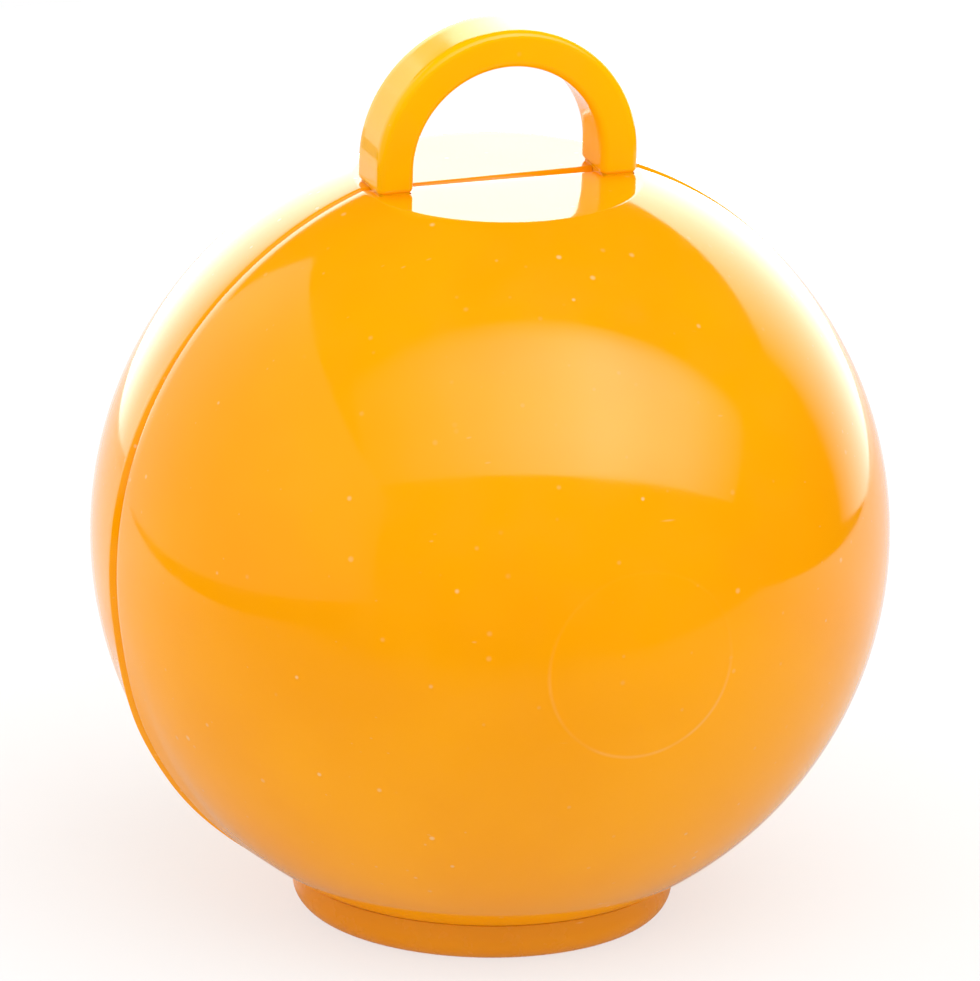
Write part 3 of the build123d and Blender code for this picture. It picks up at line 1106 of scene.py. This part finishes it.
class BALLOONWEIGHT_OT_halves(bpy.types.Operator):
    """Build the two halves of the ball"""

    bl_idname = "balloon_weight.halves"
    bl_label = "Ball halves"

    def execute(self, context):
        settings = context.scene.balloon_weight
        ball = settings.ball
        inward = math.sqrt(1.0 - (ball.mark_radius / ball.radius) ** 2)
        beside = ball.mark_shift * inward
        height = ball.centre_height - ball.mark_drop * inward
        mark = (beside, height, ball.mark_radius, ball.mark_width, ball.mark_depth)
        front_plastic = moulded_plastic("front_plastic", ball.colour, BALL_GLOSS, BALL_SHINE, mark)
        rear_plastic = moulded_plastic("rear_plastic", ball.colour, BALL_GLOSS, BALL_SHINE)
        front = join_patches("front_half", half_casing(ball, settings.loop, settings.foot, -1.0))
        rear = join_patches("rear_half", half_casing(ball, settings.loop, settings.foot, 1.0))
        place_piece(front, front_plastic, "front_shell")
        place_piece(rear, rear_plastic, "rear_shell")
        return {"FINISHED"}


class BALLOONWEIGHT_OT_loop(bpy.types.Operator):
    """Build the ribbon loop"""

    bl_idname = "balloon_weight.loop"
    bl_label = "Ribbon loop"

    def execute(self, context):
        settings = context.scene.balloon_weight
        # The loop's lighter colour carries painted light on its front faces
        plastic = moulded_plastic("loop_plastic", settings.loop.colour, BALL_GLOSS, BALL_SHINE)
        mesh = join_patches("loop", loop_patches(settings.ball, settings.loop))
        place_piece(mesh, plastic, "ribbon_loop")
        return {"FINISHED"}


class BALLOONWEIGHT_OT_foot(bpy.types.Operator):
    """Build the foot with its plug"""

    bl_idname = "balloon_weight.foot"
    bl_label = "Foot"

    def execute(self, context):
        settings = context.scene.balloon_weight
        # The foot's darker colour carries painted shade from under the ball
        plastic = moulded_plastic("foot_plastic", settings.foot.colour, FOOT_GLOSS, FOOT_SHINE)
        mesh = join_patches("foot", foot_patches(settings.ball, settings.foot))
        place_piece(mesh, plastic, "base_cap")
        return {"FINISHED"}


class BALLOONWEIGHT_OT_ballast(bpy.types.Operator):
    """Give the ballast its mortar"""

    bl_idname = "balloon_weight.ballast"
    bl_label = "Ballast"

    def execute(self, context):
        settings = context.scene.balloon_weight
        mortar = cast_mortar("ballast_mortar", settings.ballast.colour)
        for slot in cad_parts["ballast"].material_slots:
            slot.material = mortar
        return {"FINISHED"}


class BALLOONWEIGHT_OT_stage(bpy.types.Operator):
    """Set up the floor, the lamps, the surroundings and the camera"""

    bl_idname = "balloon_weight.stage"
    bl_label = "Stage"

    def execute(self, context):
        settings = context.scene.balloon_weight
        studio = settings.studio
        scene = context.scene
        middle = Vector((0.0, 0.0, settings.ball.centre_height))

        floor = floor_sheet(studio)
        scene.collection.objects.link(floor)
        for name, level, lamp in (
            ("front_panel", studio.front_panel, FRONT_PANEL),
            ("side_panel", studio.side_panel, SIDE_PANEL),
            ("rear_panel", studio.rear_panel, REAR_PANEL),
            ("key_lamp", studio.key, KEY_LAMP),
        ):
            panel_lamp(name, middle, level, **lamp)

        scene.world = white_surroundings(studio.fill)
        scene.view_settings.view_transform = "Standard"
        camera = studio_camera(studio, middle)
        scene.collection.objects.link(camera)
        scene.camera = camera
        return {"FINISHED"}


class BALLOONWEIGHT_PT_panel(bpy.types.Panel):
    """Sidebar panel of the balloon weight"""

    bl_idname = "BALLOONWEIGHT_PT_panel"
    bl_label = "Balloon Weight"
    bl_space_type = "VIEW_3D"
    bl_region_type = "UI"
    bl_category = "Balloon Weight"

    def draw(self, context):
        settings = context.scene.balloon_weight
        for title, group, operator in (
            ("Ball", settings.ball, "balloon_weight.halves"),
            ("Ribbon loop", settings.loop, "balloon_weight.loop"),
            ("Foot", settings.foot, "balloon_weight.foot"),
            ("Ballast", settings.ballast, "balloon_weight.ballast"),
            ("Studio", settings.studio, "balloon_weight.stage"),
        ):
            box = self.layout.box()
            box.label(text=title)
            for name in group.__annotations__:
                box.prop(group, name)
            box.operator(operator)


CLASSES = (
    BallSettings,
    LoopSettings,
    FootSettings,
    BallastSettings,
    StudioSettings,
    BalloonWeightSettings,
    BALLOONWEIGHT_OT_halves,
    BALLOONWEIGHT_OT_loop,
    BALLOONWEIGHT_OT_foot,
    BALLOONWEIGHT_OT_ballast,
    BALLOONWEIGHT_OT_stage,
    BALLOONWEIGHT_PT_panel,
)


def register():
    for cls in CLASSES:
        bpy.utils.register_class(cls)
    bpy.types.Scene.balloon_weight = PointerProperty(
        name="Balloon weight", description="Settings of the balloon weight", type=BalloonWeightSettings
    )


def unregister():
    del bpy.types.Scene.balloon_weight
    for cls in reversed(CLASSES):
        bpy.utils.unregister_class(cls)


def main():
    """Registers the classes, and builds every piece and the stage."""
    register()
    bpy.ops.balloon_weight.halves()
    bpy.ops.balloon_weight.loop()
    bpy.ops.balloon_weight.foot()
    bpy.ops.balloon_weight.ballast()
    bpy.ops.balloon_weight.stage()


if __name__ == "__main__":
    main()
